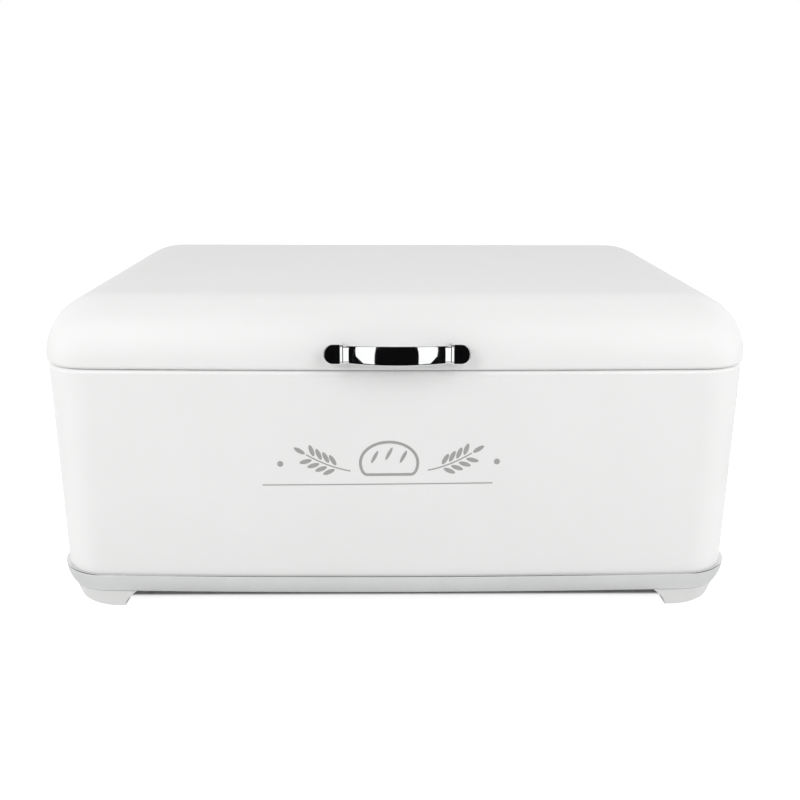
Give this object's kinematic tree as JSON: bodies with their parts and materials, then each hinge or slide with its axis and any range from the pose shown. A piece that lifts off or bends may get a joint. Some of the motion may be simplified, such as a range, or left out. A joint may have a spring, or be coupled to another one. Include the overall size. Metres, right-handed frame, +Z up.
{
  "type": "bread box",
  "caption": "White enamelled steel bread box with a hinged lid, a chrome bow handle, a chrome trim band and a moulded base with corner feet.",
  "frame": {"origin": "on the surface that the box stands on, under the middle of its overall box, handle and hinges included", "axes": "+Z up, +X to the right of someone facing the handle, -Y the front with the handle"},
  "size_m": [0.4224, 0.2692, 0.195],
  "materials": {
    "enamel": "white powder enamel, satin",
    "base_plastic": "white moulded plastic, matte",
    "band_chrome": "satin chrome",
    "handle_chrome": "bright chrome",
    "hinge_steel": "zinc-plated steel",
    "fastener_steel": "zinc-plated steel",
    "rubber": "matte rubber"
  },
  "bodies": {
    "box": {"body_wall": "enamel", "floor_pan": "enamel", "base_frame": "base_plastic", "trim_band": "band_chrome", "floor_screw_front_left": "fastener_steel", "floor_screw_front_right": "fastener_steel", "floor_screw_back_left": "fastener_steel", "floor_screw_back_right": "fastener_steel", "foot_pad_front_left": "rubber", "foot_pad_front_right": "rubber", "foot_pad_back_left": "rubber", "foot_pad_back_right": "rubber", "lid_bumper_front_left": "rubber", "lid_bumper_front_right": "rubber", "lid_bumper_back_left": "rubber", "lid_bumper_back_right": "rubber", "hinge_body_leaf_left": "hinge_steel", "hinge_body_leaf_right": "hinge_steel", "hinge_pin_left": "hinge_steel", "hinge_pin_right": "hinge_steel", "hinge_body_rivet_left_left": "fastener_steel", "hinge_body_rivet_left_right": "fastener_steel", "hinge_body_rivet_right_left": "fastener_steel", "hinge_body_rivet_right_right": "fastener_steel"},
    "lid": {"lid_shell": "enamel", "hinge_lid_leaf_left": "hinge_steel", "hinge_lid_leaf_right": "hinge_steel", "hinge_lid_rivet_left_left": "fastener_steel", "hinge_lid_rivet_left_right": "fastener_steel", "hinge_lid_rivet_right_left": "fastener_steel", "hinge_lid_rivet_right_right": "fastener_steel", "handle": "handle_chrome", "handle_screw_left": "fastener_steel", "handle_screw_right": "fastener_steel", "handle_washer_left": "fastener_steel", "handle_washer_right": "fastener_steel"}
  },
  "joints": [
    {"name": "lid_hinge", "type": "hinge", "parent": "box", "child": "lid", "pos_m": [0, 0.12815, 0.1546], "axis": [-1, 0, 0], "range_deg": [0, 105]}
  ]
}
